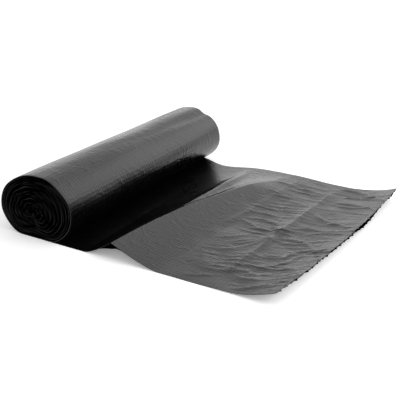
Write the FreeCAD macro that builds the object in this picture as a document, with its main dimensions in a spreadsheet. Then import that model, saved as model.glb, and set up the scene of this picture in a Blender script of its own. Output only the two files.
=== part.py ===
import FreeCAD, Part
import math
import os

from FreeCAD import Vector

# Roll of bin bags, one continuous folded film wound on itself with the first bag pulled out.
# The origin is on the floor under the roll's middle. +X is the way the film is pulled out,
# +Y runs along the roll and +Z is up. All lengths are in millimetres.

NODE = "bag_roll"

SIZES = [
    ("webWidth", 300.0, "width of the folded film, which is the roll's length"),
    ("rollWidth", 73.5, "roll from side to side as it lies"),
    ("rollHeight", 57.0, "top of the roll above the floor"),
    ("waistHeight", 26.4, "height at which the roll is widest"),
    ("flatSpot", 24.0, "width of the flat that the soft roll lies on"),
    ("filmThickness", 0.8, "folded film, drawn thick enough to hold"),
    ("floorRun", 30.0, "where the film comes clear of the roll's underside"),
    ("turnCount", 9.0, "drawn turns, each standing for many real ones"),
    ("turnGap", 0.7, "gap between drawn turns"),
    ("turnDepth", 3.0, "how far the gaps reach into each end"),
    ("rimBand", 2.2, "tight outer turns outside the first gap"),
    ("looseTurn", 1.6, "turn, counted from outside, at which the winding is loosest"),
    ("looseGap", 0.8, "extra gap at the loosest turn"),
    ("heartRadius", 3.4, "radius of the innermost turn"),
    ("heartShift", 5.0, "how far the winding's centre lies back from the roll's middle"),
    ("heartDrop", 4.3, "how far the winding's centre lies below the waist"),
    ("crumple", 0.13, "how far the inner turns buckle, as a share of their radius"),
    ("looseReach", 234.5, "torn edge's mean distance from the roll's middle"),
    ("tornSkew", 23.0, "how much further the far corner of the torn edge lies"),
    ("tornBow", 3.0, "bulge of the torn edge at its middle"),
    ("tiePitch", 10.3, "distance from one torn perforation tie to the next"),
    ("tieWidth", 3.4, "width of a tie at its root"),
    ("tieLength", 1.3, "how far a tie stands out"),
    ("ridgeFoot", 50.0, "where the film lifts off the floor in front of the roll"),
    ("ridgeNear", 76.0, "crest of the buckle at the near edge"),
    ("ridgeDrift", 58.0, "how much further from the roll the crest lies at the far edge"),
    ("ridgeHeight", 14.6, "height of the buckle at the near edge"),
    ("ridgeFade", 0.6, "share of its height that the buckle loses along the web"),
    ("flattenStart", 0.72, "share of the way across the web where the buckle begins to flatten out"),
    ("farHeight", 1.2, "height of the buckle that is left at the far edge"),
    ("ridgeRise", 1.4, "bend of the buckle's rising side, 1 being straight"),
    ("ridgeFallLength", 38.0, "length in which the buckle falls away again"),
    ("twinPlace", 83.0, "second crest, where the buckle forks"),
    ("twinGap", 4.0, "least distance between the two crests"),
    ("twinHeight", 2.6, "how far the second crest stands out of the buckle"),
    ("twinWidth", 5.0, "half width of the second crest"),
    ("creasePlace", 166.0, "crease across the pull, at the near edge"),
    ("creaseSkew", 22.0, "how much further the crease lies at the far edge"),
    ("creaseHeight", 1.6, "height of the crease"),
    ("creaseWidth", 5.0, "half width of the crease"),
    ("curlHeight", 8.0, "lift of the torn edge at its middle"),
    ("cornerLift", 3.0, "further lift at the two torn corners"),
    ("wrinkleHeight", 1.4, "height of the pulled wrinkles"),
    ("wrinkleCount", 6.0, "pulled wrinkles across the web"),
    ("wrinkleSlant", 24.0, "angle of the wrinkles to the pull at the near edge, in degrees"),
    ("wrinkleStart", 112.0, "where the wrinkles begin"),
    ("tuckStart", 31.0, "where the far edge of the film begins to draw in"),
    ("tuckEnd", 112.0, "where the far edge is straight again"),
    ("tuckDepth", 11.0, "how far the buckle draws the far edge in"),
]


def make_sheet(doc):
    sheet = doc.addObject("Spreadsheet::Sheet", "Sizes")
    for row, (alias, value, note) in enumerate(SIZES, start=1):
        sheet.set("A%d" % row, alias)
        sheet.set("B%d" % row, str(value))
        sheet.set("C%d" % row, note)
        sheet.setAlias("B%d" % row, alias)
    doc.recompute()
    return sheet


def smooth(value):
    # Eased step from 0 to 1
    share = min(max(value, 0.0), 1.0)
    return share * share * (3.0 - 2.0 * share)


def bump(distance, half_width):
    # Rounded hump of height 1
    return math.exp(-(distance / half_width) ** 2)


# Roll section

TIGHTNESS = 0.95


def polar(radius, angle):
    return Vector(radius * math.cos(angle), 0, radius * math.sin(angle))


def oval_quarter(reach_x, reach_z):
    # Points on the two tangent arcs of a quarter oval, from its right end to its top.
    # Either reach may be the longer one. The middle point is where the arcs meet.
    short = min(reach_x, reach_z)
    long = max(reach_x, reach_z)
    tight = TIGHTNESS * short * short / long
    wide = (tight ** 2 - (long - tight) ** 2 - short ** 2) / (2 * (tight - short))
    tight_center = Vector(long - tight, 0, 0)
    wide_center = Vector(0, 0, short - wide)
    meet = math.atan2(wide - short, long - tight)
    points = [
        tight_center + polar(tight, 0),
        tight_center + polar(tight, meet / 2),
        tight_center + polar(tight, meet),
        wide_center + polar(wide, meet / 2 + math.pi / 4),
        wide_center + polar(wide, math.pi / 2),
    ]
    if reach_z > reach_x:
        points = [Vector(point.z, 0, point.x) for point in reversed(points)]
    return points


def section_wire(sheet, y):
    # Outline of the roll, widest at its waist and flat where it lies
    half_flat = sheet.flatSpot / 2
    half_width = sheet.rollWidth / 2
    waist = sheet.waistHeight
    upper = oval_quarter(half_width, sheet.rollHeight - waist)
    lower = oval_quarter(half_width - half_flat, waist)
    quarters = [
        (reversed(lower), 1, -1, half_flat),
        (upper, 1, 1, 0),
        (reversed(upper), -1, 1, 0),
        (lower, -1, -1, -half_flat),
    ]
    edges = []
    for points, side, up, shift in quarters:
        placed = [Vector(shift + side * point.x, y, waist + up * point.z) for point in points]
        edges.append(Part.Arc(*placed[:3]).toShape())
        edges.append(Part.Arc(*placed[2:]).toShape())
    edges.append(Part.makeLine(Vector(-half_flat, y, 0), Vector(half_flat, y, 0)))
    return Part.Wire(edges)


def add_roll(doc, sheet):
    section = doc.addObject("Part::Feature", "roll_section")
    section.Shape = Part.Face(section_wire(sheet, 0))
    solid = doc.addObject("Part::Extrusion", "wound_roll")
    solid.Base = section
    solid.DirMode = "Custom"
    solid.Dir = Vector(0, 1, 0)
    solid.Symmetric = True
    solid.Solid = True
    solid.setExpression("LengthFwd", "Sizes.webWidth")
    return solid


# Turns of the winding, seen at the ends

TURN_STEPS = 24
LOBES = ((2, 0.9, 0.5), (3, 0.6, 2.1), (4, 0.4, 4.0))


def buckle(share, angle, amount):
    # The inner turns are crumpled and the outer ones are tight
    slack = (1.0 - share) ** 1.5
    wave = sum(weight * math.cos(count * angle + phase) for count, weight, phase in LOBES)
    return 1.0 + amount * slack * wave


def winding_side(sheet, outline, y, side):
    # One wall of the spiral gap: side is 0 for the outer wall and 1 for the inner one
    middle = Vector(0, y, sheet.waistHeight)
    heart = middle - Vector(sheet.heartShift, 0, sheet.heartDrop)
    mean_radius = (sheet.rollWidth + sheet.rollHeight) / 4
    outer = 1.0 - sheet.rimBand / mean_radius
    inner = sheet.heartRadius / mean_radius
    steps = int(sheet.turnCount) * TURN_STEPS
    points = []
    for step in range(steps + 1):
        width = sheet.turnGap + sheet.looseGap * bump(step / TURN_STEPS - sheet.looseTurn, 0.8)
        share = outer + (inner - outer) * step / steps - side * width / mean_radius
        rim = outline[step % TURN_STEPS] - middle
        angle = math.atan2(rim.z, rim.x)
        points.append(heart + (middle - heart) * share + rim * share * buckle(share, angle, sheet.crumple))
    return points


def add_turns(doc, sheet):
    y = -sheet.webWidth / 2
    outline = section_wire(sheet, y).discretize(Number=TURN_STEPS + 1)
    outer_wall = winding_side(sheet, outline, y, 0)
    inner_wall = winding_side(sheet, outline, y, 1)
    inner_wall.reverse()
    gap = doc.addObject("Part::Feature", "winding_gap")
    gap.Shape = Part.Face(Part.makePolygon(outer_wall + inner_wall + outer_wall[:1]))
    near = doc.addObject("Part::Extrusion", "near_turns")
    near.Base = gap
    near.DirMode = "Custom"
    near.Dir = Vector(0, 1, 0)
    near.Solid = True
    near.setExpression("LengthFwd", "Sizes.turnDepth")
    far = doc.addObject("Part::Mirroring", "far_turns")
    far.Source = near
    far.Normal = Vector(0, 1, 0)
    return near, far


# Film pulled out of the roll

SECTIONS = 29
RUN_SHARES = (0.0, 1.0)
FLANK_SHARES = (0.3, 0.55, 0.8)
HOLLOW_SHARES = (0.0, 0.2, 0.5, 0.8)
FALL_SHARES = (0.0, 0.12, 0.3, 0.55, 1.0)
CURL_SHARES = (0.0, 0.2, 0.4, 0.6, 0.8, 1.0)


def torn_edge(sheet, across):
    # How far out the torn edge lies, across being 0 at the near side of the web and 1 at the far
    skew = sheet.tornSkew * (across - 0.5)
    bow = sheet.tornBow * 4.0 * across * (1.0 - across)
    return sheet.looseReach + skew + bow


def profile(sheet, across):
    # Film from the roll to the torn edge at one place across the web, as places and rises.
    # The buckle in front of the roll forks into two crests towards the far side.
    foot = sheet.ridgeFoot
    crest = sheet.ridgeNear + sheet.ridgeDrift * across ** 2
    flatness = smooth((across - sheet.flattenStart) / (1.0 - sheet.flattenStart))
    height = sheet.ridgeHeight * (1.0 - sheet.ridgeFade * across) * (1.0 - flatness)
    height += sheet.farHeight * flatness
    twin = min(sheet.twinPlace, crest - sheet.twinGap)
    fork = sheet.twinHeight * smooth((across - 0.3) / 0.25) * (1.0 - flatness)
    hollow = (twin + crest) / 2
    crease = sheet.creasePlace + sheet.creaseSkew * across
    edge = torn_edge(sheet, across) + sheet.tieLength
    run = sheet.floorRun
    fall_end = min(crest + sheet.ridgeFallLength, crease - 2 * sheet.creaseWidth)
    lift = sheet.curlHeight + sheet.cornerLift * (2.0 * across - 1.0) ** 2

    def flank(x):
        rise = height * ((x - foot) / (crest - foot)) ** sheet.ridgeRise
        return rise + fork * (bump(x - twin, sheet.twinWidth) - 0.5 * bump(x - hollow, (crest - twin) / 3))

    stations = [(run + (foot - run) * share, 0.0) for share in RUN_SHARES]
    for share in FLANK_SHARES:
        x = foot + (twin - foot) * share
        stations.append((x, flank(x)))
    for share in HOLLOW_SHARES:
        x = twin + (crest - twin) * share
        stations.append((x, flank(x)))
    for share in FALL_SHARES:
        stations.append((crest + (fall_end - crest) * share, height * (1.0 - share) ** 2))
    crease_start = crease - sheet.creaseWidth
    crease_end = crease + sheet.creaseWidth
    stations.append(((fall_end + crease_start) / 2, 0.0))
    stations.append((crease_start, 0.0))
    stations.append((crease, sheet.creaseHeight))
    for share in CURL_SHARES:
        stations.append((crease_end + (edge - crease_end) * share, lift * share ** 2))
    return stations


def wrinkle(sheet, x, across, edge):
    # Wrinkles that pulling left, slanted at the near side and straight at the far one
    slant = math.tan(math.radians(sheet.wrinkleSlant)) * (1.0 - 0.8 * across)
    swell = smooth((x - sheet.wrinkleStart) / (edge - sheet.wrinkleStart))
    place = across - slant * (x - edge) / sheet.webWidth
    wave = math.cos(2 * math.pi * sheet.wrinkleCount * place + 1.3 * math.sin(3 * math.pi * place))
    return sheet.wrinkleHeight * swell * (0.5 + 0.5 * wave)


def film_profiles(sheet):
    # Closed outline of the film's edge at each section across the web. None dips below the floor.
    down = Vector(0, 0, -sheet.filmThickness)
    wires = []
    for section in range(SECTIONS):
        across = section / (SECTIONS - 1)
        y = sheet.webWidth * (across - 0.5)
        stations = profile(sheet, across)
        edge = stations[-1][0]
        top = []
        for x, rise in stations:
            rise += wrinkle(sheet, x, across, edge)
            top.append(Vector(x, y, sheet.filmThickness + max(0.0, rise)))
        bottom = [point + down for point in reversed(top)]
        wires.append(Part.makePolygon(top + bottom + top[:1]))
    return wires


def torn_outline(sheet, reach):
    # What lies past the torn edge, which has a short tag of film at each perforation tie
    half_web = sheet.webWidth / 2
    ties = int(sheet.webWidth / sheet.tiePitch)
    margin = (sheet.webWidth - ties * sheet.tiePitch) / 2
    tie_points = ((-0.5, 0.0), (-0.2, sheet.tieLength), (0.2, sheet.tieLength), (0.5, 0.0))
    points = [Vector(torn_edge(sheet, 0.0), -half_web - reach, 0)]
    for tie in range(ties):
        middle = margin + (tie + 0.5) * sheet.tiePitch
        for side, length in tie_points:
            place = middle + side * sheet.tieWidth
            points.append(Vector(torn_edge(sheet, place / sheet.webWidth) + length, place - half_web, 0))
    far_x = torn_edge(sheet, 1.0)
    points.append(Vector(far_x, half_web + reach, 0))
    points.append(Vector(far_x + 2 * reach, half_web + reach, 0))
    points.append(Vector(far_x + 2 * reach, -half_web - reach, 0))
    points.append(points[0])
    return Part.makePolygon(points)


def tuck_outline(sheet):
    # What lies outside the far edge where the buckle draws it in
    edge = sheet.webWidth / 2
    start = Vector(sheet.tuckStart, edge, 0)
    end = Vector(sheet.tuckEnd, edge, 0)
    middle = (start + end) / 2 - Vector(0, sheet.tuckDepth, 0)
    outward = Vector(0, sheet.tuckDepth, 0)
    arc = Part.Arc(start, middle, end).toShape()
    rest = Part.makePolygon([end, end + outward, start + outward, start])
    return Part.Wire([arc] + rest.Edges)


def add_waste(doc, sheet, name, outline):
    # Upright solid over an outline, to be cut away from the film
    face = doc.addObject("Part::Feature", name + "_outline")
    face.Shape = Part.Face(outline)
    waste = doc.addObject("Part::Extrusion", name)
    waste.Base = face
    waste.DirMode = "Custom"
    waste.Dir = Vector(0, 0, 1)
    waste.Solid = True
    waste.setExpression("LengthFwd", "Sizes.rollHeight")
    return waste


def add_film(doc, sheet):
    film = doc.addObject("Part::Loft", "whole_film")
    film.Solid = True
    film.Ruled = True
    sections = []
    for wire in film_profiles(sheet):
        section = doc.addObject("Part::Feature", "film_profile")
        section.Shape = wire
        sections.append(section)
    film.Sections = sections
    torn = doc.addObject("Part::Cut", "torn_film")
    torn.Base = film
    torn.Tool = add_waste(doc, sheet, "torn_away", torn_outline(sheet, sheet.tiePitch))
    drawn = doc.addObject("Part::Cut", "drawn_film")
    drawn.Base = torn
    drawn.Tool = add_waste(doc, sheet, "drawn_in", tuck_outline(sheet))
    return drawn


def add_floor_run(doc):
    # Last stretch of the outer turn, flat on the floor under the roll
    run = doc.addObject("Part::Box", "floor_run")
    run.setExpression("Length", "Sizes.floorRun")
    run.setExpression("Width", "Sizes.webWidth")
    run.setExpression("Height", "Sizes.filmThickness")
    run.setExpression("Placement.Base.y", "-Sizes.webWidth / 2")
    return run


def add_web(doc, sheet):
    roll = add_roll(doc, sheet)
    near_turns, far_turns = add_turns(doc, sheet)
    near_cut = doc.addObject("Part::Cut", "near_end")
    near_cut.Base = roll
    near_cut.Tool = near_turns
    both_cut = doc.addObject("Part::Cut", "both_ends")
    both_cut.Base = near_cut
    both_cut.Tool = far_turns
    web = doc.addObject("Part::MultiFuse", "bag_roll")
    web.Shapes = [both_cut, add_floor_run(doc), add_film(doc, sheet)]
    web.Refine = True
    web.Label = NODE
    return web


def check(doc, web):
    for item in doc.Objects:
        if "Invalid" in item.State or "Error" in item.State:
            raise RuntimeError("%s could not be made" % item.Name)
    if web.Shape.isNull() or not web.Shape.isValid() or len(web.Shape.Solids) != 1:
        raise RuntimeError("%s is not one sound solid" % web.Label)


def main():
    os.makedirs("parts", exist_ok=True)
    doc = FreeCAD.newDocument("BagRoll")
    sheet = make_sheet(doc)
    web = add_web(doc, sheet)
    doc.recompute()
    check(doc, web)
    box = web.Shape.BoundBox
    print("%s: %.0f x %.0f x %.0f mm" % (web.Label, box.XLength, box.YLength, box.ZLength))
    web.Shape.exportStep("parts/%s.step" % web.Label)


main()
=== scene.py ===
import bpy
import math
import numpy as np
from mathutils import Matrix, Vector


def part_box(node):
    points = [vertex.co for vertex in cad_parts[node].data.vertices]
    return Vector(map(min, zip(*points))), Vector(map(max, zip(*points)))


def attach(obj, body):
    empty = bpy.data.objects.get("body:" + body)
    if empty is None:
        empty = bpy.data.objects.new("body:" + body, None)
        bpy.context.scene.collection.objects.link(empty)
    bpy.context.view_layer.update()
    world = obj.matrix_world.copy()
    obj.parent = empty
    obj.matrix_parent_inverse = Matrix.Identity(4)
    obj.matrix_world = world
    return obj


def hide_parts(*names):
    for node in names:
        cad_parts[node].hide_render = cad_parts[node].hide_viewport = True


# Roll of black bin bags lying on its side, with the first bag pulled out from underneath and torn off.
# Shapes are worked out in millimetres and become metres where a mesh is made.
# +X is the way the film is pulled out, +Y runs along the roll and +Z is up.

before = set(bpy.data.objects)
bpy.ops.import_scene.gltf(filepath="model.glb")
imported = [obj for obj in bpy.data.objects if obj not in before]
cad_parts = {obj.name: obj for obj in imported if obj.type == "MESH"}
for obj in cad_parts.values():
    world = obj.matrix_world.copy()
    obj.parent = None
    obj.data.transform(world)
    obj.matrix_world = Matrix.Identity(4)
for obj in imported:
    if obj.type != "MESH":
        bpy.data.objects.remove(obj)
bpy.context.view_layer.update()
print("frame loaded, nodes:", len(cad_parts))

metresPerMillimetre = 0.001
low, high = [[value / metresPerMillimetre for value in corner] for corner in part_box("bag_roll")]
halfWeb = high[1]  # half the width of the folded film
webWidth = 2 * halfWeb
halfRoll = -low[0]
rollHeight = high[2]


# Small helpers for shapes

def eased(value):
    # Step from 0 to 1 with soft ends
    share = np.clip(value, 0.0, 1.0)
    return share * share * (3.0 - 2.0 * share)


def hump(distance, halfWidth):
    return np.exp(-(distance / halfWidth) ** 2)


def unevenness(along, across, seed, size, waves=16):
    # Soft random swells of about -1 to 1, each 0.6 to 1.7 times as long as size
    dice = np.random.default_rng(seed)
    turns = dice.uniform(0, 2 * math.pi, waves)
    lengths = size * dice.uniform(0.6, 1.7, waves)
    phases = dice.uniform(0, 2 * math.pi, waves)
    total = np.zeros(np.broadcast(along, across).shape)
    for turn, length, phase in zip(turns, lengths, phases):
        onward = along * math.cos(turn) + across * math.sin(turn)
        total += np.cos(2 * math.pi * onward / length + phase)
    return total / math.sqrt(2 * waves)


def ringFaces(ringCount, ringSize):
    # Quads between neighbouring closed rings of points
    point = np.arange(ringSize)
    nextPoint = (point + 1) % ringSize
    ring = np.arange(ringCount - 1)[:, None] * ringSize
    nextRing = ring + ringSize
    corners = (ring + point, ring + nextPoint, nextRing + nextPoint, nextRing + point)
    return np.stack(corners, -1).reshape(-1, 4)


def makePiece(name, points, faces, filmPlaceAndShade, material, sharpAngle=50):
    # filmPlaceAndShade is where each point lies on the flat film, along the pull and across it.
    # Its third number, 0 to 1 mm, is how much painted shade there is: that share of the film is painted
    # black.
    mesh = bpy.data.meshes.new(name)
    mesh.from_pydata((np.asarray(points) * metresPerMillimetre).tolist(), [], faces)
    place = mesh.attributes.new("filmPlaceAndShade", "FLOAT_VECTOR", "POINT")
    placeInMetres = np.asarray(filmPlaceAndShade) * metresPerMillimetre
    place.data.foreach_set("vector", placeInMetres.astype(np.float32).ravel())
    mesh.shade_smooth()
    mesh.set_sharp_from_angle(angle=math.radians(sharpAngle))
    mesh.materials.append(material)
    piece = bpy.data.objects.new(name, mesh)
    bpy.context.scene.collection.objects.link(piece)
    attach(piece, "root")
    print(name, len(mesh.vertices), "points")
    return piece


# Materials

class Wire:
    # A node socket that can be used in sums
    def __init__(self, tree, socket=None):
        self.tree = tree
        self.socket = socket

    def add(self, kind, settings=None, inputs=None, output=0):
        node = self.tree.nodes.new(kind)
        for name, value in (settings or {}).items():
            setattr(node, name, value)
        for name, value in (inputs or {}).items():
            if isinstance(value, Wire):
                self.tree.links.new(value.socket, node.inputs[name])
            else:
                node.inputs[name].default_value = value
        return Wire(self.tree, node.outputs[output])

    def maths(self, operation, *values):
        return self.add("ShaderNodeMath", {"operation": operation}, dict(enumerate(values)))

    def __add__(self, other):
        return self.maths("ADD", self, other)

    def __sub__(self, other):
        return self.maths("SUBTRACT", self, other)

    def __rsub__(self, other):
        return self.maths("SUBTRACT", other, self)

    def __mul__(self, other):
        return self.maths("MULTIPLY", self, other)

    def __truediv__(self, other):
        return self.maths("DIVIDE", self, other)

    def __rtruediv__(self, other):
        return self.maths("DIVIDE", other, self)

    __radd__ = __add__
    __rmul__ = __mul__


# Depths are in metres and scales are per metre
filmLook = {
    "color": (0.0005, 0.0005, 0.0006, 1),
    "dustColor": (0.0026, 0.0026, 0.0030, 1),
    "gloss": 1.45,  # refractive index
    "roughness": 0.28,
    "roughnessSpread": 0.10,
    "patchScale": 26.0,  # patches of dust, which are rougher
    "embossPitch": 0.0036,  # from one pressed diamond to the next
    "embossDepth": 0.00010,
    "embossWander": 0.0050,  # how far the pressed lines stray from straight
    "wanderScale": 110.0,
    "creaseDepth": 0.00062,
    "creaseScale": 95.0,
    "creaseBend": 0.6,
    "streakDepth": 0.00020,
    "streakScale": 420.0,
    "streakStretch": (0.16, 1.0, 1.0),  # streaks are drawn out along the pull
    "bump": 0.6,
}


def newMaterial(name):
    material = bpy.data.materials.new(name)
    material.use_nodes = True
    tree = material.node_tree
    tree.nodes.clear()
    return material, Wire(tree)


def paintBlackShadeAndReflections(start, shader, place):
    # Painted shade and painted reflection: film seen in the gloss of other film is painted black, and so
    # is the share of film given by the third number of its place, such as its inner side
    black = start.add("ShaderNodeBsdfDiffuse", {}, {"Color": (0, 0, 0, 1)})
    mirrored = start.add("ShaderNodeLightPath", {}, {}, output="Is Glossy Ray")
    third = start.add("ShaderNodeSeparateXYZ", {}, {"Vector": place}, output="Z")
    # Painted shade: how much of the film is painted black here
    paintedShadeShare = start.maths("MINIMUM", third / metresPerMillimetre, 1.0)
    paintedBlackShare = start.maths("MAXIMUM", mirrored, paintedShadeShare)
    return start.add("ShaderNodeMixShader", {}, {"Fac": paintedBlackShare, 1: shader, 2: black})


def finishMaterial(start, shader):
    output = start.tree.nodes.new("ShaderNodeOutputMaterial")
    start.tree.links.new(shader.socket, output.inputs["Surface"])


def blackFilm():
    # Thin pressed film: faint diamonds, streaks along the pull and fine creases
    look = filmLook
    material, start = newMaterial("blackFilm")
    place = start.add("ShaderNodeAttribute", {"attribute_name": "filmPlaceAndShade"}, output="Vector")
    turnsPerMetre = math.pi / look["embossPitch"]
    wander = start.add("ShaderNodeTexNoise", {}, {
        "Vector": place,
        "Scale": look["wanderScale"],
        "Detail": 2.0,
    }, output="Color")
    strayed = start.add("ShaderNodeVectorMath", {"operation": "MULTIPLY_ADD"}, {
        0: wander,
        1: 3 * (look["embossWander"],),
        2: place,
    })
    along = start.add("ShaderNodeSeparateXYZ", {}, {"Vector": strayed}, output="X")
    across = start.add("ShaderNodeSeparateXYZ", {}, {"Vector": strayed}, output="Y")
    risingLines = start.maths("SINE", (along + across) * turnsPerMetre)
    fallingLines = start.maths("SINE", (along - across) * turnsPerMetre)
    diamonds = risingLines * fallingLines
    stretched = start.add(
        "ShaderNodeVectorMath", {"operation": "MULTIPLY"}, {0: place, 1: look["streakStretch"]}
    )
    streaks = start.add(
        "ShaderNodeTexNoise", {}, {"Vector": stretched, "Scale": look["streakScale"], "Detail": 4.0}
    )
    creases = start.add("ShaderNodeTexNoise", {"noise_type": "RIDGED_MULTIFRACTAL"}, {
        "Vector": place,
        "Scale": look["creaseScale"],
        "Detail": 3.0,
        "Distortion": look["creaseBend"],
    })
    patches = start.add(
        "ShaderNodeTexNoise", {}, {"Vector": place, "Scale": look["patchScale"], "Detail": 5.0}
    )
    height = (
        diamonds * look["embossDepth"] + streaks * look["streakDepth"] + creases * look["creaseDepth"]
    )
    bump = start.add("ShaderNodeBump", {}, {"Height": height, "Distance": 1.0, "Strength": look["bump"]})
    color = start.add(
        "ShaderNodeMix", {"data_type": "RGBA"},
        {"Factor": patches * patches, 6: look["color"], 7: look["dustColor"]}, output=2,
    )
    shader = start.add("ShaderNodeBsdfPrincipled", {}, {
        "Base Color": color,
        "Roughness": patches * look["roughnessSpread"] + look["roughness"] - look["roughnessSpread"] / 2,
        "Normal": bump,
        "IOR": look["gloss"],
    })
    # Painted shade and painted reflection are mixed in last
    finishMaterial(start, paintBlackShadeAndReflections(start, shader, place))
    return material


edgeLook = {
    "color": (0.0016, 0.0016, 0.0018, 1),
    "roughness": 0.2,
    "roughnessSpread": 0.3,
    "shine": 0.34,
    "nickScale": 900.0,
    "nickDepth": 0.0003,
    "bump": 0.5,
}


def filmEdge():
    # Edges of the wound film, which reflect little light, with painted black shade on parts of them
    look = edgeLook
    material, start = newMaterial("filmEdge")
    place = start.add("ShaderNodeAttribute", {"attribute_name": "filmPlaceAndShade"}, output="Vector")
    nicks = start.add(
        "ShaderNodeTexNoise", {}, {"Vector": place, "Scale": look["nickScale"], "Detail": 3.0}
    )
    bump = start.add("ShaderNodeBump", {}, {
        "Height": nicks, "Distance": look["nickDepth"], "Strength": look["bump"],
    })
    shader = start.add("ShaderNodeBsdfPrincipled", {}, {
        "Base Color": look["color"],
        "Roughness": nicks * look["roughnessSpread"] + look["roughness"],
        "Normal": bump,
        "Specular IOR Level": look["shine"],
    })
    # Painted shade and painted reflection are mixed in last
    finishMaterial(start, paintBlackShadeAndReflections(start, shader, place))
    return material


filmMaterial = blackFilm()
edgeMaterial = filmEdge()
print("materials made")


# Wound roll

roll = {
    "waistHeight": 26.4,  # height at which the roll is widest
    "flatSpot": 24.0,  # width of the flat that it lies on
    "arcTightness": 0.95,  # radius of the tighter arcs, as a share of a true oval's radius there
    "arcSteps": 24,
    "stepsRound": 200,
    "stepsAlong": 130,
    "wall": 0.9,  # outer turns drawn as one skin
    "pocketDepth": 11.0,  # how far the gaps between the turns can be seen into
    "rimRounding": 0.8,
    "rimProfile": ((0.6, 0.0), (0.12, 0.1)),  # how far in and back, as shares of wall and rounding
    "groovePlace": 78.0,  # groove along the roll, measured round from the floor
    "grooveDrift": 9.0,
    "grooveDepth": 2.3,
    "grooveWidth": 6.5,
    "grooveStart": 0.25,  # share of the way to the far end
    "swell": 0.35,  # soft unevenness of the skin
    "swellLength": 34.0,
    "swellStretch": 0.35,
    "swellSeed": 3,
    "lines": 0.10,  # fine creases along the roll
    "lineLength": 9.0,
    "lineStretch": (2.4, 0.12),
    "linePlace": 6.0,  # middle and half width of the band that has them, past the groove
    "lineWidth": 14.0,
    "lineSeed": 8,
    "floorBlend": 9.0,
}


def ovalQuarter(reachX, reachZ):
    # A quarter oval of two tangent arcs, from its right end to its top
    short, long = sorted((reachX, reachZ))
    tight = roll["arcTightness"] * short * short / long
    wide = (tight ** 2 - (long - tight) ** 2 - short ** 2) / (2 * (tight - short))
    meet = math.atan2(wide - short, long - tight)
    endTurn = np.linspace(0, meet, roll["arcSteps"])
    sideTurn = np.linspace(meet, math.pi / 2, roll["arcSteps"])[1:]
    x = np.concatenate((long - tight + tight * np.cos(endTurn), wide * np.cos(sideTurn)))
    z = np.concatenate((tight * np.sin(endTurn), short - wide + wide * np.sin(sideTurn)))
    return (x, z) if reachX >= reachZ else (z[::-1], x[::-1])


def rollOutline(steps):
    # Outline of the roll in equal steps, from where it leaves the floor, up its front and round
    halfFlat = roll["flatSpot"] / 2
    waist = roll["waistHeight"]
    upperX, upperZ = ovalQuarter(halfRoll, rollHeight - waist)
    lowerX, lowerZ = ovalQuarter(halfRoll - halfFlat, waist)
    x = np.concatenate((halfFlat + lowerX[::-1], upperX[1:], -upperX[-2::-1], -halfFlat - lowerX[1:]))
    z = waist + np.concatenate((-lowerZ[::-1], upperZ[1:], upperZ[-2::-1], -lowerZ[1:]))
    x = np.append(x, x[0])
    z = np.append(z, z[0])
    run = np.concatenate(([0.0], np.cumsum(np.hypot(np.diff(x), np.diff(z)))))
    place = np.linspace(0, run[-1], steps, endpoint=False)
    return np.interp(place, run, x), np.interp(place, run, z), place


def outwardOf(x, z):
    # Unit normals of a closed outline that runs anticlockwise
    runX = np.roll(x, -1) - np.roll(x, 1)
    runZ = np.roll(z, -1) - np.roll(z, 1)
    length = np.hypot(runX, runZ)
    return runZ / length, -runX / length


def skinRelief(place, y):
    # How far the skin stands out from the plain outline. Nothing stands out where it lies on the floor.
    farness = (y + halfWeb) / webWidth
    groove = roll["groovePlace"] + roll["grooveDrift"] * (1 - farness)
    depth = roll["grooveDepth"] * eased((farness - roll["grooveStart"]) / (1 - roll["grooveStart"]))
    relief = -depth * hump(place - groove, roll["grooveWidth"])
    swells = unevenness(place, roll["swellStretch"] * y, roll["swellSeed"], roll["swellLength"])
    relief += roll["swell"] * swells
    roundStretch, alongStretch = roll["lineStretch"]
    lines = unevenness(place * roundStretch, alongStretch * y, roll["lineSeed"], roll["lineLength"])
    relief += roll["lines"] * lines * hump(place - groove - roll["linePlace"], roll["lineWidth"])
    blend = roll["floorBlend"]
    return relief * eased(place / blend) * eased((place.max() - roll["flatSpot"] - place) / blend)


def makeRollSkin():
    steps = roll["stepsRound"]
    x, z, place = rollOutline(steps)
    outX, outZ = outwardOf(x, z)
    wall = roll["wall"]
    rounding = roll["rimRounding"]
    # Rings of the skin, each with how far it lies under the surface and its place along the roll
    nearRim = [(wall, -halfWeb + roll["pocketDepth"]), (wall, -halfWeb + rounding)]
    nearRim += [(inset * wall, -halfWeb + back * rounding) for inset, back in roll["rimProfile"]]
    between = np.linspace(-halfWeb + rounding, halfWeb - rounding, roll["stepsAlong"])
    rings = nearRim + [(0.0, y) for y in between] + [(inset, -y) for inset, y in reversed(nearRim)]
    points = []
    filmPlaceAndShade = []
    for inset, y in rings:
        stand = skinRelief(place, y) - inset
        ringZ = np.maximum(z + outZ * stand, 0.0)
        points.append(np.stack((x + outX * stand, np.full(steps, y), ringZ), -1))
        filmPlaceAndShade.append(np.stack((place, np.full(steps, y), np.zeros(steps)), -1))
    faces = ringFaces(len(rings), steps)[:, ::-1].tolist()
    lastRing = (len(rings) - 1) * steps
    faces.append(list(range(steps)))
    faces.append([lastRing + step for step in reversed(range(steps))])
    skin = makePiece("roll_skin", np.concatenate(points), faces, np.concatenate(filmPlaceAndShade), filmMaterial)
    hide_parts("bag_roll")


# Turns of the winding, seen at both ends

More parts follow.
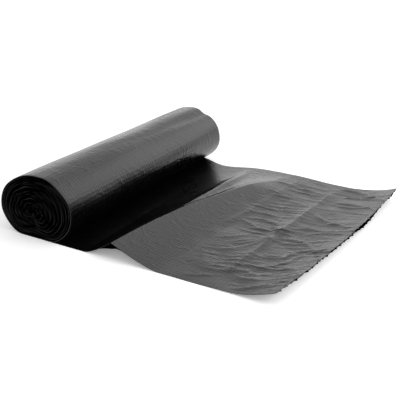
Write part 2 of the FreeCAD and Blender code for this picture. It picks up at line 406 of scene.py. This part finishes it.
winding = {
    "stepsPerTurn": 96,
    "rimSteps": 360,
    "turnsAt": (0.0, 5.0, 6.0, 14.0, 23.0),  # turns counted from outside
    "sharesAt": (0.955, 0.835, 0.775, 0.46, 0.09),  # share of the rim's radius at those turns
    "waver": 0.004,  # share of the rim's radius by which a turn strays
    "thickness": 0.42,
    "thicknessSpread": 0.35,
    "heartShift": (-5.0, -4.3),  # the winding's centre from the roll's middle, along X and Z
    "crumple": 0.27,
    "crumpleBend": 1.5,  # above 1 keeps the outer turns even
    # Waves round the crumpled turns: how many, how strong and where they start
    "lobes": ((2, 0.9, 0.5), (3, 0.6, 2.1), (4, 0.4, 4.0), (7, 0.20, 1.0), (11, 0.10, 2.6)),
    "recess": 2.2,  # how much deeper the middle lies
    "recessBend": 1.3,
    "ragged": 0.75,  # how uneven the film's edges are
    "raggedMean": 0.9,
    "leastRecess": 0.05,
    "bevel": 0.22,
    "lean": 0.55,
    "leanReach": 1.3,  # share of the rim's radius at which the turns would stand straight
    "rootDepth": 0.5,  # how far the turns run on behind the skin's pocket
    "looseTurn": 5.4,  # a turn that stands a little apart and is spared the painted shade
    "looseWidth": 0.45,
    "shade": 0.62,  # share of the other turns' edges that is painted black as shade
    "shadeSpread": 0.8,
}


def slowNoise(turn, seed):
    # Wavers of about -1 to 1 along the film, so that neighbouring turns differ
    dice = np.random.default_rng(seed)
    total = 0.0
    for cyclesPerTurn in (0.63, 1.37, 2.61, 4.13, 7.7, 12.4):
        phase = dice.uniform(0, 6.3)
        total = total + np.sin(2 * math.pi * turn * cyclesPerTurn + phase) / cyclesPerTurn ** 0.35
    return total / 2.4


def makeTurns(name, side, seed):
    # side is -1 at the near end and 1 at the far one
    outlineX, outlineZ, place = rollOutline(winding["rimSteps"])
    outX, outZ = outwardOf(outlineX, outlineZ)
    relief = skinRelief(place, side * halfWeb)
    outlineX = outlineX + outX * relief
    outlineZ = outlineZ + outZ * relief
    waist = roll["waistHeight"]
    bearing = np.arctan2(outlineZ - waist, outlineX)
    order = np.argsort(bearing)
    turnCount = winding["turnsAt"][-1]
    turn = np.linspace(0, turnCount, int(turnCount * winding["stepsPerTurn"]) + 1)
    angle = -math.pi / 2 - 2 * math.pi * turn
    rimX = np.interp(angle, bearing[order], outlineX[order], period=2 * math.pi)
    rimZ = np.interp(angle, bearing[order], outlineZ[order], period=2 * math.pi) - waist
    share = np.interp(turn, winding["turnsAt"], winding["sharesAt"])
    share = share + winding["waver"] * slowNoise(turn, seed)
    wave = sum(weight * np.cos(count * angle + phase) for count, weight, phase in winding["lobes"])
    bulge = 1 + winding["crumple"] * (1 - share) ** winding["crumpleBend"] * wave
    heartX, heartZ = winding["heartShift"]
    x = heartX * (1 - share) + rimX * share * bulge
    z = waist + heartZ * (1 - share) + rimZ * share * bulge
    runX = np.gradient(x)
    runZ = np.gradient(z)
    length = np.hypot(runX, runZ)
    outX, outZ = -runZ / length, runX / length
    thickness = winding["thickness"] * (1 + winding["thicknessSpread"] * slowNoise(turn, seed + 1))
    ragged = winding["ragged"] * (winding["raggedMean"] + slowNoise(turn, seed + 2))
    edge = winding["recess"] * (1 - share) ** winding["recessBend"] + ragged
    edge = np.maximum(edge, winding["leastRecess"])
    lean = winding["lean"] * slowNoise(turn, seed + 3) * (winding["leanReach"] - share)
    # Painted shade: parts of the turns' edges are painted black, all but the loose turn
    shade = np.clip(winding["shade"] + winding["shadeSpread"] * slowNoise(turn, seed + 4), 0, 1)
    shade *= 1 - hump(turn - winding["looseTurn"], winding["looseWidth"])
    root = np.full_like(edge, roll["pocketDepth"] + winding["rootDepth"])
    # Places through the film's thickness, how much of the lean each has, and its depth in the roll
    section = (
        (-0.5, 0.0, root),
        (-0.5, 1.0, edge + winding["bevel"]),
        (0.0, 1.0, edge),
        (0.5, 1.0, edge + winding["bevel"]),
        (0.5, 0.0, root),
    )
    rings = []
    places = []
    for across, leaning, depth in section:
        shift = across * thickness + leaning * lean
        rings.append(np.stack((x + outX * shift, side * (halfWeb - depth), z + outZ * shift), -1))
        places.append(np.stack((length.cumsum(), side * (halfWeb - depth), shade), -1))
    points = np.stack(rings, 1).reshape(-1, 3)
    filmPlaceAndShade = np.stack(places, 1).reshape(-1, 3)
    ringSize = len(section)
    faces = ringFaces(len(turn), ringSize)[:, ::side].tolist()
    firstCap = list(range(ringSize))
    lastCap = [len(points) - ringSize + step for step in range(ringSize)]
    faces.append(firstCap[::-side])
    faces.append(lastCap[::side])
    makePiece(name, points, faces, filmPlaceAndShade, edgeMaterial, sharpAngle=40)


# Film pulled out of the roll

film = {
    "seed": 21,
    "stepsAlong": 208,
    "start": 10.0,
    "reach": 234.5,  # torn edge's mean distance from the roll's middle
    "skew": 23.0,
    "bow": 3.0,
    "ply": 0.25,  # thickness of each of the two folded plies
    "seam": 0.004,  # share of the web's width that a folded side takes up
    "slack": 5.0,  # length that the buckle and the curl take up
    # Mouth at the torn edge, where the plies part
    "mouthSteps": 9,
    "mouthRun": 34.0,
    "mouthGap": 4.6,
    "mouthLeast": 0.45,  # share of the gap along the whole edge
    "mouthBulge": 0.72,  # and what is added at one place across the web
    "mouthBulgePlace": 0.66,
    "mouthBulgeWidth": 0.14,
    "mouthWaver": 0.2,
    "mouthWaverLength": 1 / 6,  # as a share of the width
    "mouthSeed": 4,
    "mouthCorners": (0.07, 0.05),  # shares of the width over which it closes, near and far
    "lowerShort": 0.9,  # how far the lower ply stays behind the upper one
    # Torn ties
    "tiePitch": 10.3,
    "tieLength": 0.9,
    "tiePull": (0.4, 1.5),  # least and greatest share of that length
    "tieNotch": 0.15,
    "tieRun": 0.015,  # share of the film's length that they move
    # Places in one pitch, and the share of the tie that stands there
    "tieProfile": (
        (0.0, 0.0), (0.18, 0.0), (0.34, 0.0), (0.42, 1.0), (0.58, 1.0), (0.66, 0.0), (0.82, 0.0),
    ),
    # Buckle in front of the roll
    "foot": 50.0,  # where the film lifts off the floor
    "crestNear": 76.0,
    "crestDrift": 58.0,
    "crestBend": 2,  # above 1 lets the crest run along the roll at first
    "crestHeight": 14.6,
    "crestFade": 0.6,
    "crestRise": 1.4,  # bend of its rising side
    "crestFall": 1.4,  # bend of its falling side
    "fallLength": 46.0,
    "flattenStart": 0.72,  # share of the way across where the buckle begins to flatten out
    "farHeight": 1.2,
    "forkStart": 0.3,  # share of the way across where the crest begins to fork
    "forkRun": 0.25,
    "twinPlace": 83.0,
    "twinGap": 4.0,
    "twinHeight": 2.6,
    "twinWidth": 5.0,
    "hollow": 0.5,  # depth between the two crests, as a share of twinHeight
    "sag": 0.6,  # share of its height by which the lower ply stays down under the crest
    "sagWidth": 24.0,
    "sagSide": 0.03,
    "tuckPlace": 52.0,  # the far edge is drawn in where the buckle rises
    "tuckWidth": 26.0,
    "tuck": 16.0,
    "tuckBend": 5,
    # Crease across the film
    "creasePlace": 166.0,
    "creaseSkew": 22.0,
    "creaseHeight": 1.5,
    "creaseWidth": 5.0,
    "creaseSides": (1.3, 0.55),  # its slow side and its quick one, as shares of creaseWidth
    "creaseSharpness": 1.1,
    "creaseNear": (0.06, 0.18),  # where it begins across the film, and over what share
    "creaseFar": (0.93, 0.08),  # where it has ended, and over what share
    # Curl, swells and wrinkles
    "curl": 8.0,
    "cornerLift": 3.0,
    "swell": 0.4,
    "swellMean": 0.6,
    "swellLength": 38.0,
    "swellStart": 100.0,
    "swellRun": 40.0,
    "wrinkleStrength": 1.5,
    "floorSoftness": 0.15,  # keeps the film off the floor without a sharp bend
}

# Pulled wrinkles: start, middle and end of each, its height and its half width
wrinkles = (
    ((178, 19), (205, 8), (233, 15), 0.85, 3.6),
    ((199, -77), (208, -50), (232, -42), 0.80, 3.2),
    ((204, -76), (217, -58), (236, -66), 0.55, 2.4),
    ((180, -89), (195, -88), (206, -74), 0.45, 2.0),
    ((166, -95), (192, -95), (224, -92), 0.60, 2.4),
    ((172, -117), (198, -121), (228, -103), 0.65, 2.8),
    ((178, -144), (203, -134), (232, -114), 0.60, 2.8),
    ((174, -36), (196, -24), (220, -46), 0.60, 2.8),
    ((190, 94), (218, 93), (243, 77), 0.50, 2.4),
    ((194, 74), (212, 72), (236, 65), 0.45, 2.2),
    ((188, 53), (203, 38), (228, 25), 0.60, 2.6),
    ((176, -7), (158, 6), (138, 3), 0.40, 2.0),
    ((177, -15), (159, -16), (136, -5), 0.40, 2.2),
    ((174, -24), (165, -43), (152, -59), 0.35, 2.2),
    ((135, -78), (152, -72), (170, -40), 0.35, 2.2),
    ((158, -121), (173, -108), (193, -112), 0.35, 2.0),
    ((138, -121), (164, -116), (184, -104), 0.30, 2.0),
    ((138, -68), (153, -50), (168, -34), 0.30, 1.8),
    ((134, -2), (154, 9), (170, 3), 0.30, 1.8),
    ((154, -35), (165, -33), (176, -30), 0.30, 1.8),
    ((183, 132), (207, 137), (244, 108), 0.70, 3.0),
    ((192, 111), (212, 116), (239, 111), 0.40, 2.0),
    ((132, 70), (160, 84), (184, 85), 0.30, 1.8),
    ((131, 27), (155, 41), (178, 51), 0.30, 2.0),
    ((118, -36), (131, 20), (141, 132), 0.35, 4.5),
    # Pinch in the crease and the short folds that run into it
    ((170, -20), (176, -15), (183, -14), 0.85, 1.2),
    ((164, -15), (172, -11), (180, -7), 0.55, 1.1),
    ((160, -9), (169, -5), (178, 0), 0.40, 1.1),
    # Short folds across the near part of the crease
    ((148, -116), (158, -110), (170, -108), 0.35, 1.2),
    ((149, -108), (160, -101), (172, -99), 0.32, 1.1),
    ((151, -99), (161, -93), (173, -89), 0.34, 1.2),
    ((155, -90), (164, -84), (176, -80), 0.30, 1.1),
    ((157, -80), (167, -75), (178, -70), 0.28, 1.1),
    # Fine folds that fan out to the torn edge
    ((196, -128), (214, -124), (230, -126), 0.40, 1.5),
    ((190, -108), (210, -106), (229, -97), 0.34, 1.3),
    ((200, -98), (216, -90), (232, -80), 0.36, 1.4),
    ((196, -62), (216, -52), (234, -30), 0.36, 1.5),
    ((190, -30), (210, -22), (236, -10), 0.34, 1.3),
    ((196, -8), (214, 2), (238, 8), 0.34, 1.3),
    ((200, 24), (220, 34), (240, 38), 0.34, 1.4),
    ((196, 40), (216, 50), (240, 52), 0.30, 1.2),
    ((200, 88), (222, 84), (243, 92), 0.30, 1.3),
    ((204, 124), (224, 122), (244, 130), 0.36, 1.5),
    ((126, -58), (140, -50), (152, -34), 0.26, 1.2),
    ((128, 30), (150, 22), (176, 28), 0.26, 1.2),
    ((134, 52), (156, 60), (178, 66), 0.28, 1.2),
    ((136, 98), (158, 102), (182, 104), 0.28, 1.3),
)

fineWrinkles = {
    "seed": 26,
    "count": 110,
    "fromX": 118.0,
    "toX": 236.0,
    "nearMargin": 4.0,
    "farMargin": 8.0,
    "shortest": 12.0,
    "longest": 36.0,
    "height": 0.24,
    "halfWidth": 1.3,
    "sizes": (0.5, 1.3),  # least and greatest share of that height and half width
    "slantNear": 22.0,  # degrees from the pull at the near side, none at the far side
    "slantSpread": 9.0,
    "bendSpread": 0.05,
}

wrinkleShape = {
    "steps": 40,
    "riseRun": 0.35,  # share of its length over which a wrinkle rises
    "endRun": 0.3,  # share of its length over which it sinks again, and by how much
    "endLoss": 0.4,
    "tipRun": 3.0,  # half widths over which it fades beyond its tips
    "steepSide": 0.6,  # width of each side as a share of its half width
    "slowSide": 1.5,
    "sharpness": 1.5,
    "marginAlong": 6.0,  # half widths past its tips that it may still move
    "marginAcross": 30.0,
}


def tornEdge(across):
    # How far out the torn edge lies, across being 0 at the near side and 1 at the far one
    return film["reach"] + film["skew"] * (across - 0.5) + film["bow"] * 4 * across * (1 - across)


def tornTies(seed):
    # Places across the web, and how far the film stands out there: one short tag for each tie
    dice = np.random.default_rng(seed)
    count = int(webWidth / film["tiePitch"])
    margin = (webWidth - count * film["tiePitch"]) / 2
    notch = film["tieNotch"]
    places = [0.0]
    reaches = [0.0]
    for tie in range(count):
        pull = dice.uniform(*film["tiePull"])
        for share, stands in film["tieProfile"]:
            places.append(margin + (tie + share) * film["tiePitch"])
            reaches.append(film["tieLength"] * pull * stands + dice.uniform(-notch, notch))
    places.append(webWidth)
    reaches.append(0.0)
    return np.array(places)[:, None] / webWidth, np.array(reaches)[:, None]


def creaseLine(across):
    return film["creasePlace"] + film["creaseSkew"] * across


def buckleHeight(x, across):
    # The buckle in front of the roll, which forks into two crests towards the far side
    foot = film["foot"]
    crest = film["crestNear"] + film["crestDrift"] * across ** film["crestBend"]
    flatness = eased((across - film["flattenStart"]) / (1 - film["flattenStart"]))
    height = film["crestHeight"] * (1 - film["crestFade"] * across) * (1 - flatness)
    height = height + film["farHeight"] * flatness
    fallEnd = np.minimum(crest + film["fallLength"], creaseLine(across) - 2 * film["creaseWidth"])
    rise = height * np.clip((x - foot) / (crest - foot), 0, 1) ** film["crestRise"]
    fall = height * (1 - np.clip((x - crest) / (fallEnd - crest), 0, 1)) ** film["crestFall"]
    twin = np.minimum(film["twinPlace"], crest - film["twinGap"])
    fork = film["twinHeight"] * eased((across - film["forkStart"]) / film["forkRun"]) * (1 - flatness)
    between = hump(x - (twin + crest) / 2, (crest - twin) / 3)
    forked = fork * (hump(x - twin, film["twinWidth"]) - film["hollow"] * between)
    return np.where(x < crest, rise, fall) + forked


def creaseHeight(x, across):
    # Slow rise to the crease and a quick fall behind it
    nearPlace, nearRun = film["creaseNear"]
    farPlace, farRun = film["creaseFar"]
    ends = eased((across - nearPlace) / nearRun) * eased((farPlace - across) / farRun)
    behind = x - creaseLine(across)
    width = film["creaseWidth"] * np.where(behind < 0, *film["creaseSides"])
    return film["creaseHeight"] * ends * np.exp(-np.abs(behind / width) ** film["creaseSharpness"])


def curlHeight(x, across):
    # The torn end curls up, most at its corners
    start = creaseLine(across) + film["creaseWidth"]
    share = np.maximum((x - start) / (tornEdge(across) - start), 0)
    return (film["curl"] + film["cornerLift"] * (2 * across - 1) ** 2) * share ** 2


def wrinkleHeight(x, y, line, height, halfWidth):
    # One wrinkle: a crest with its steep side away from the near edge
    shape = wrinkleShape
    start, middle, end = (np.array(point, float) for point in line)
    spanX, spanY = np.abs(end - start)
    reach = np.abs(x - middle[0]) < spanX / 2 + shape["marginAlong"] * halfWidth
    reach &= np.abs(y - middle[1]) < spanY / 2 + shape["marginAcross"]
    result = np.zeros_like(x)
    nearX = x[reach]
    nearY = y[reach]
    steps = np.linspace(0, 1, shape["steps"])
    bend = 2 * middle - (start + end) / 2
    curve = np.outer((1 - steps) ** 2, start)
    curve = curve + np.outer(2 * steps * (1 - steps), bend)
    curve = curve + np.outer(steps ** 2, end)
    run = np.gradient(curve, axis=0)
    run /= np.linalg.norm(run, axis=1)[:, None]
    offX = nearX[:, None] - curve[:, 0]
    offY = nearY[:, None] - curve[:, 1]
    nearest = np.argmin(offX ** 2 + offY ** 2, axis=1)
    pick = np.arange(len(nearX)), nearest
    beside = run[nearest, 0] * offY[pick] - run[nearest, 1] * offX[pick]
    beside *= np.sign(end[0] - start[0])
    past = np.abs(run[nearest, 0] * offX[pick] + run[nearest, 1] * offY[pick])
    share = steps[nearest]
    sinking = eased((share - (1 - shape["endRun"])) / shape["endRun"])
    strength = eased(share / shape["riseRun"]) * (1 - shape["endLoss"] * sinking)
    strength *= hump(past, shape["tipRun"] * halfWidth)
    width = halfWidth * np.where(beside > 0, shape["steepSide"], shape["slowSide"])
    result[reach] = height * strength * np.exp(-np.abs(beside / width) ** shape["sharpness"])
    return result


def randomWrinkles():
    # Fine wrinkles in the form of the list above
    look = fineWrinkles
    dice = np.random.default_rng(look["seed"])
    lines = []
    for _ in range(look["count"]):
        startX = dice.uniform(look["fromX"], look["toX"] - look["shortest"])
        startY = dice.uniform(-halfWeb + look["nearMargin"], halfWeb - look["farMargin"])
        across = startY / webWidth + 0.5
        slant = math.radians(look["slantNear"] * (1 - across) + dice.normal(0, look["slantSpread"]))
        length = dice.uniform(look["shortest"], look["longest"])
        end = (startX + length * math.cos(slant), startY + length * math.sin(slant))
        bend = dice.normal(0, look["bendSpread"]) * length
        middle = ((startX + end[0]) / 2, (startY + end[1]) / 2 + bend)
        size = dice.uniform(*look["sizes"])
        lines.append(((startX, startY), middle, end, look["height"] * size, look["halfWidth"] * size))
    return lines


def filmHeight(x, y, across):
    height = buckleHeight(x, across) + creaseHeight(x, across) + curlHeight(x, across)
    for *line, size, halfWidth in wrinkles + tuple(randomWrinkles()):
        height += film["wrinkleStrength"] * wrinkleHeight(x, y, line, size, halfWidth)
    free = eased((x - film["swellStart"]) / film["swellRun"])
    swells = unevenness(x, y, film["seed"], film["swellLength"])
    height += film["swell"] * free * (film["swellMean"] + swells)
    return 0.5 * (height + np.sqrt(height ** 2 + film["floorSoftness"] ** 2))


def mouthGap(x, across):
    # How far the plies part: most at the torn edge, and hardly at all in its corners
    bulge = film["mouthBulge"] * hump(across - film["mouthBulgePlace"], film["mouthBulgeWidth"])
    waver = unevenness(across, 0 * across, film["mouthSeed"], film["mouthWaverLength"])
    gap = film["mouthGap"] * (film["mouthLeast"] + bulge + film["mouthWaver"] * waver)
    gap = gap * eased(1 + (x - tornEdge(across)) / film["mouthRun"])
    nearRun, farRun = film["mouthCorners"]
    return gap * (eased((across + film["seam"]) / nearRun) * eased((1 + film["seam"] - across) / farRun))


def sideFaces(first, steps, mouth, ringSize):
    # Faces that close a folded side of the film, whose ring of points starts at first
    faces = []
    for step in range(steps - 1):
        below = ringSize - 1 - step
        inner = step - (steps - mouth)
        upper = steps + mouth - 1 - inner
        lower = steps + mouth + inner
        if inner >= 0:
            faces.append((step, upper, upper - 1, step + 1))
            faces.append((lower, below, below - 1, lower + 1))
        elif inner == -1:
            faces.append((step, below, below - 1, lower + 1, upper - 1, step + 1))
        else:
            faces.append((step, below, below - 1, step + 1))
    return [[first + corner for corner in face] for face in faces]


def makeLooseFilm():
    # Two plies, folded together at the sides, that part a little where the bag was torn off
    across, stands = tornTies(film["seed"])
    _, lowerStands = tornTies(film["seed"] + 1)
    shares = np.linspace(0, 1, film["stepsAlong"])
    y = -halfWeb + webWidth * across + 0 * shares
    x = film["start"] + (tornEdge(across) - film["start"]) * shares
    height = filmHeight(x, y, across)
    bothPlies = 2 * film["ply"]
    tied = eased((shares - (1 - film["tieRun"])) / film["tieRun"])
    tuck = film["tuck"] * hump(x - film["tuckPlace"], film["tuckWidth"]) * across ** film["tuckBend"]
    top = np.stack((x + stands * tied, y - tuck, bothPlies + height), -1)
    sag = film["sag"] * height * hump(x - film["crestNear"], film["sagWidth"])
    sag = sag * eased((across - film["seam"]) / film["sagSide"])
    lowerZ = np.maximum(top[..., 2] - bothPlies - mouthGap(x, across) - sag, 0)
    bottom = np.stack((x + (lowerStands - film["lowerShort"]) * tied, y - tuck, lowerZ), -1)
    mouth = film["mouthSteps"]
    ply = np.array((0, 0, film["ply"]))
    # Each ring runs out along the top, back and out again inside the mouth, and back along the bottom
    rings = np.concatenate(
        (top, top[:, :-mouth - 1:-1] - ply, bottom[:, -mouth:] + ply, bottom[:, ::-1]), axis=1
    )
    ringCount, ringSize = rings.shape[:2]
    steps = len(shares)
    faces = ringFaces(ringCount, ringSize).tolist()
    faces += sideFaces(0, steps, mouth, ringSize)
    faces += [face[::-1] for face in sideFaces((ringCount - 1) * ringSize, steps, mouth, ringSize)]
    # Painted shade: all past the two points of the upper ply's torn edge, which is inner side or faces
    # the floor, is painted black
    paintedInnerShade = np.zeros((ringCount, ringSize))
    paintedInnerShade[:, steps + 2:] = 1.0
    flatY = np.broadcast_to(y[:, :1], (ringCount, ringSize))
    filmPlaceAndShade = np.stack((rings[..., 0], flatY, paintedInnerShade), -1)
    sheet = makePiece(
        "loose_film", rings.reshape(-1, 3), faces, filmPlaceAndShade.reshape(-1, 3), filmMaterial, sharpAngle=60
    )
    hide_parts("bag_roll")


# Floor, light and camera, all in metres

keyPlace = (0.55, 1.0, 0.70)

studio = {
    "floorSize": 6.0,
    "floorColor": (0.95, 0.95, 0.95, 1),
    "skyForDiffuse": 0.78,
    "floorGlow": 0.25,  # added to the white floor where the camera or gloss sees it
    "keyPlace": keyPlace,
    "keySize": 0.9,
    "keyPower": 1.6,
    # Soft glows in the sky: the way to each, its width and its strength
    "glows": (
        (keyPlace, 0.42, 0.45),
        ((-0.25, 1.0, 0.25), 0.32, 0.28),
    ),
    "fillPlace": (1.2, 0.0, 0.75),
    "fillSize": 0.9,
    "fillPower": 7.5,
    # Bent dark card beyond the film's far side, out of view, that keeps the roll's lower front dark
    "cardCorners": (
        (0.13, 0.155, 0.0005), (0.90, 0.155, 0.0005), (0.90, 0.36, 0.0005), (0.255, 0.36, 0.0005),
        (0.90, 0.36, 0.50), (0.255, 0.36, 0.50),
        (-0.10, 0.22, 0.0), (0.008, 0.22, 0.0), (0.000, 0.22, 0.06), (-0.10, 0.22, 0.06),
    ),
    "cardFaces": ((0, 1, 2, 3), (3, 2, 4, 5), (6, 7, 8, 9)),
    "cardFadeX": (0.25, 0.46),  # the card fades out towards these heights at these places along X
    "cardFadeHeights": (0.12, 0.46),
    "backPlace": (-1.35, 2.1, 0.22),  # low light behind the roll, which lights its top edge
    "backSize": 1.7,
    "backHeight": 0.42,
    "backPower": 1.9,
    "lampAim": (0.1, 0.0, 0.0),
}

view = {
    "aim": (0.1122, -0.0531, 0.0300),
    "distance": 0.7236,
    "azimuth": 24.25,
    "elevation": 20.99,
    "tilt": 4.42,
    "imageWidth": 405,
    "focalPixels": 800,
    "sensorWidth": 36,
    "nearestSeen": 0.01,
}


def seenDirectly(start):
    # 1 for what the camera sees, directly, in gloss or through glass
    rays = [
        start.add("ShaderNodeLightPath", {}, {}, output=name)
        for name in ("Is Camera Ray", "Is Glossy Ray", "Is Transmission Ray")
    ]
    return start.maths("MAXIMUM", start.maths("MAXIMUM", rays[0], rays[1]), rays[2])


def makeFloor():
    half = studio["floorSize"] / 2
    mesh = bpy.data.meshes.new("floor")
    corners = [(-half, -half, 0), (half, -half, 0), (half, half, 0), (-half, half, 0)]
    mesh.from_pydata(corners, [], [(0, 1, 2, 3)])
    material, start = newMaterial("floorWhite")
    diffuse = start.add("ShaderNodeBsdfDiffuse", {}, {"Color": studio["floorColor"]})
    glow = start.add("ShaderNodeEmission", {}, {"Color": (1, 1, 1, 1), "Strength": studio["floorGlow"]})
    brighter = start.add("ShaderNodeAddShader", {}, {0: diffuse, 1: glow})
    mixed = start.add("ShaderNodeMixShader", {}, {"Fac": seenDirectly(start), 1: diffuse, 2: brighter})
    finishMaterial(start, mixed)
    mesh.materials.append(material)
    floor = bpy.data.objects.new("floor", mesh)
    bpy.context.scene.collection.objects.link(floor)


def makeWorld():
    world = bpy.data.worlds.new("studio")
    bpy.context.scene.world = world
    world.use_nodes = True
    world.node_tree.nodes.clear()
    start = Wire(world.node_tree)
    dim = studio["skyForDiffuse"]
    direction = start.add("ShaderNodeTexCoord", output="Generated")
    strength = seenDirectly(start) * (1 - dim) + dim
    for way, width, glow in studio["glows"]:
        middle = tuple(Vector(way).normalized())
        away = start.add(
            "ShaderNodeVectorMath", {"operation": "DISTANCE"}, {0: direction, 1: middle}, output="Value"
        ) * (1 / width)
        strength = strength + start.maths("EXPONENT", away * away * -1.0) * glow
    sky = start.add("ShaderNodeBackground", {}, {"Color": (1, 1, 1, 1), "Strength": strength})
    output = world.node_tree.nodes.new("ShaderNodeOutputWorld")
    world.node_tree.links.new(sky.socket, output.inputs["Surface"])


def makeCard():
    mesh = bpy.data.meshes.new("darkCard")
    mesh.from_pydata(studio["cardCorners"], [], studio["cardFaces"])
    material, start = newMaterial("cardBlack")
    place = start.add("ShaderNodeNewGeometry", output="Position")
    fromX, toX = studio["cardFadeX"]
    fromHeight, toHeight = studio["cardFadeHeights"]
    fullHeight = start.add("ShaderNodeMapRange", {}, {
        "Value": start.add("ShaderNodeSeparateXYZ", {}, {"Vector": place}, output="X"),
        "From Min": fromX, "From Max": toX, "To Min": fromHeight, "To Max": toHeight,
    })
    height = start.add("ShaderNodeSeparateXYZ", {}, {"Vector": place}, output="Z")
    fade = start.maths("MINIMUM", height / fullHeight, 1.0)
    black = start.add("ShaderNodeBsdfDiffuse", {}, {"Color": (0, 0, 0, 1)})
    clear = start.add("ShaderNodeBsdfTransparent")
    finishMaterial(start, start.add("ShaderNodeMixShader", {}, {"Fac": fade, 1: black, 2: clear}))
    mesh.materials.append(material)
    card = bpy.data.objects.new("darkCard", mesh)
    card.visible_camera = False
    card.visible_diffuse = False
    card.visible_shadow = False
    bpy.context.scene.collection.objects.link(card)


def makeLamp(name, place, width, height, power):
    lamp = bpy.data.lights.new(name, "AREA")
    lamp.shape = "RECTANGLE"
    lamp.size = width
    lamp.size_y = height
    lamp.energy = power
    holder = bpy.data.objects.new(name, lamp)
    holder.location = place
    towards = Vector(studio["lampAim"]) - Vector(place)
    holder.rotation_euler = towards.to_track_quat("-Z", "Y").to_euler()
    bpy.context.scene.collection.objects.link(holder)


def makeCamera():
    azimuth, elevation, tilt = (math.radians(view[name]) for name in ("azimuth", "elevation", "tilt"))
    forward = Vector((
        -math.sin(azimuth) * math.cos(elevation),
        math.cos(azimuth) * math.cos(elevation),
        -math.sin(elevation),
    ))
    level = Vector((math.cos(azimuth), math.sin(azimuth), 0))
    upright = level.cross(forward)
    right = level * math.cos(tilt) + upright * math.sin(tilt)
    up = upright * math.cos(tilt) - level * math.sin(tilt)
    camera = bpy.data.cameras.new("camera")
    camera.sensor_width = view["sensorWidth"]
    camera.lens = view["focalPixels"] / view["imageWidth"] * camera.sensor_width
    camera.clip_start = view["nearestSeen"]
    holder = bpy.data.objects.new("camera", camera)
    place = Matrix.Translation(Vector(view["aim"]) - forward * view["distance"])
    holder.matrix_world = place @ Matrix((right, up, -forward)).transposed().to_4x4()
    bpy.context.scene.collection.objects.link(holder)
    bpy.context.scene.camera = holder


makeCamera()
makeRollSkin()
makeTurns("near_turns", side=-1, seed=31)
makeTurns("far_turns", side=1, seed=57)
makeLooseFilm()
makeFloor()
makeWorld()
makeCard()
makeLamp("keyLight", studio["keyPlace"], studio["keySize"], studio["keySize"], studio["keyPower"])
makeLamp("fillLight", studio["fillPlace"], studio["fillSize"], studio["fillSize"], studio["fillPower"])
makeLamp("backLight", studio["backPlace"], studio["backSize"], studio["backHeight"], studio["backPower"])
bpy.context.scene.view_settings.view_transform = "Standard"
print("studio made")
